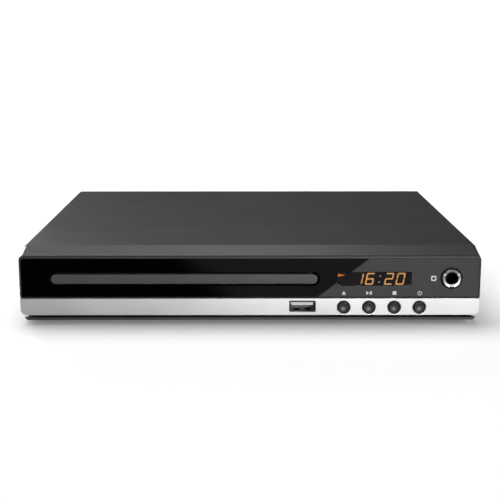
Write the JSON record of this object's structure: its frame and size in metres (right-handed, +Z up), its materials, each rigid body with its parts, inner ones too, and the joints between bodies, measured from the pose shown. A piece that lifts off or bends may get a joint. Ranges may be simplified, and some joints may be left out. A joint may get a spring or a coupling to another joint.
{
  "type": "disc player with tray",
  "caption": "Slim disc player with a sliding loading tray, gloss front with clock display, metal-look control strip, stick socket and microphone jack.",
  "frame": {"origin": "middle of the whole object's outline, on the plane under the feet", "axes": "+Z up, the front panel and the tray face -Y, +X to the right seen from the front"},
  "size_m": [0.2432, 0.2126, 0.04],
  "materials": {
    "cover_paint": "fine textured black powder coat",
    "chassis_steel": "black coated steel",
    "bezel_plastic": "satin moulded plastic",
    "gloss_panel": "high gloss, a dark grey field on the right",
    "silver_strip": "metallic silver, satin",
    "filter": "smoked, clear",
    "door_plastic": "satin dark grey",
    "button_plastic": "satin dark grey",
    "black_plastic": "moulded black",
    "tray_plastic": "fine grained black",
    "loader_plastic": "moulded dark grey",
    "white_plastic": "natural acetal",
    "foot_rubber": "matt",
    "belt_rubber": "matt",
    "bright_chrome": "polished",
    "plated_steel": "zinc plated",
    "cast_alloy": "die cast",
    "lens_glass": "polished",
    "board_green": "solder mask on glass fibre",
    "chip_black": "moulded epoxy",
    "winding_tape": "yellow tape over ferrite",
    "capacitor_sleeve": "sleeved can",
    "cable_grey": "flat ribbon",
    "display_body": "dark, lit segments"
  },
  "bodies": {
    "casing": {"bottom_chassis": "chassis_steel", "top_cover": "cover_paint", "front_bezel": "bezel_plastic", "gloss_panel": "gloss_panel", "silver_strip": "silver_strip", "display_filter": "filter", "jack_collar": "black_plastic", "jack_nut": "bright_chrome", "microphone_jack": "black_plastic", "usb_socket": "plated_steel", "rubber_feet": "foot_rubber", "cover_screws": "plated_steel", "loader_chassis": "loader_plastic", "clamp_bridge": "plated_steel", "loading_motor": "plated_steel", "drive_belt": "belt_rubber", "loader_screws": "plated_steel", "front_board": "board_green", "led_display": "display_body", "tact_switches": "black_plastic", "infrared_receiver": "chip_black", "main_board": "board_green", "main_chips": "chip_black", "heat_sink": "cast_alloy", "power_board": "board_green", "transformer": "winding_tape", "power_capacitors": "capacitor_sleeve", "jack_board": "board_green", "phono_sockets": "black_plastic", "video_socket": "plated_steel", "mains_inlet": "black_plastic", "ribbon_cables": "cable_grey", "board_screws": "plated_steel"},
    "tray": {"disc_tray": "tray_plastic", "tray_door": "door_plastic"},
    "traverse": {"traverse_frame": "loader_plastic", "guide_rods": "bright_chrome", "sled_motor": "plated_steel", "spindle_motor": "plated_steel"},
    "sled": {"optical_pickup": "cast_alloy", "objective_lens": "lens_glass"},
    "sled_screw": {"lead_screw": "plated_steel"},
    "turntable": {"turntable": "black_plastic"},
    "puck": {"clamp_puck": "white_plastic"},
    "slider": {"cam_slider": "white_plastic"},
    "tray_drive": {"tray_gear": "white_plastic"},
    "belt_drive": {"pulley_gear": "white_plastic"},
    "motor_drive": {"motor_pulley": "white_plastic"},
    "eject": {"eject_button": "button_plastic"},
    "play": {"play_button": "button_plastic"},
    "stop": {"stop_button": "button_plastic"},
    "power": {"power_button": "button_plastic"}
  },
  "joints": [
    {"name": "tray_slide", "type": "slide", "parent": "casing", "child": "tray", "axis": [0, -1, 0], "range_m": [0, 0.137]},
    {"name": "tray_gear_turn", "type": "hinge", "parent": "casing", "child": "tray_drive", "pos_m": [0.0065, -0.0747, 0.02175], "axis": [0, 0, 1], "range_deg": [-874.17, 2]},
    {"name": "pulley_turn", "type": "hinge", "parent": "casing", "child": "belt_drive", "pos_m": [-0.0117, -0.0747, 0.01675], "axis": [0, 0, 1], "range_deg": [-2, 1964.38]},
    {"name": "motor_turn", "type": "hinge", "parent": "casing", "child": "motor_drive", "pos_m": [-0.0565, -0.0747, 0.01875], "axis": [0, 0, 1], "range_deg": [-2, 8550.45]},
    {"name": "traverse_drop", "type": "hinge", "parent": "casing", "child": "traverse", "pos_m": [-0.0345, 0.0533, 0.01575], "axis": [1, 0, 0], "range_deg": [0, 2.4]},
    {"name": "cam_slide", "type": "slide", "parent": "casing", "child": "slider", "axis": [1, 0, 0], "range_m": [0, 0.0141]},
    {"name": "sled_slide", "type": "slide", "parent": "traverse", "child": "sled", "axis": [0, 1, 0], "range_m": [0, 0.035]},
    {"name": "sled_screw_turn", "type": "hinge", "parent": "traverse", "child": "sled_screw", "pos_m": [0.0045, -0.0047, 0.01325], "axis": [0, 1, 0], "range_deg": [-2, 4202]},
    {"name": "disc_spin", "type": "hinge", "parent": "traverse", "child": "turntable", "pos_m": [-0.0345, -0.0327, 0.02635], "axis": [0, 0, 1], "continuous": true},
    {"name": "puck_spin", "type": "hinge", "parent": "casing", "child": "puck", "pos_m": [-0.0345, -0.0327, 0.03035], "axis": [0, 0, 1], "continuous": true},
    {"name": "eject_press", "type": "slide", "parent": "casing", "child": "eject", "axis": [0, 1, 0], "range_m": [0, 0.0006], "stiffness_N_per_m": 600},
    {"name": "play_press", "type": "slide", "parent": "casing", "child": "play", "axis": [0, 1, 0], "range_m": [0, 0.0006], "stiffness_N_per_m": 600},
    {"name": "stop_press", "type": "slide", "parent": "casing", "child": "stop", "axis": [0, 1, 0], "range_m": [0, 0.0006], "stiffness_N_per_m": 600},
    {"name": "power_press", "type": "slide", "parent": "casing", "child": "power", "axis": [0, 1, 0], "range_m": [0, 0.0006], "stiffness_N_per_m": 600}
  ],
  "couplings": [
    {"joint": "tray_gear_turn", "follows": "tray_slide", "rad_per_m": -111.11},
    {"joint": "pulley_turn", "follows": "tray_slide", "rad_per_m": 250},
    {"joint": "motor_turn", "follows": "tray_slide", "rad_per_m": 1089},
    {"joint": "cam_slide", "follows": "traverse_drop", "m_per_rad": 0.33423},
    {"joint": "sled_screw_turn", "follows": "sled_slide", "rad_per_m": 2094.4}
  ]
}
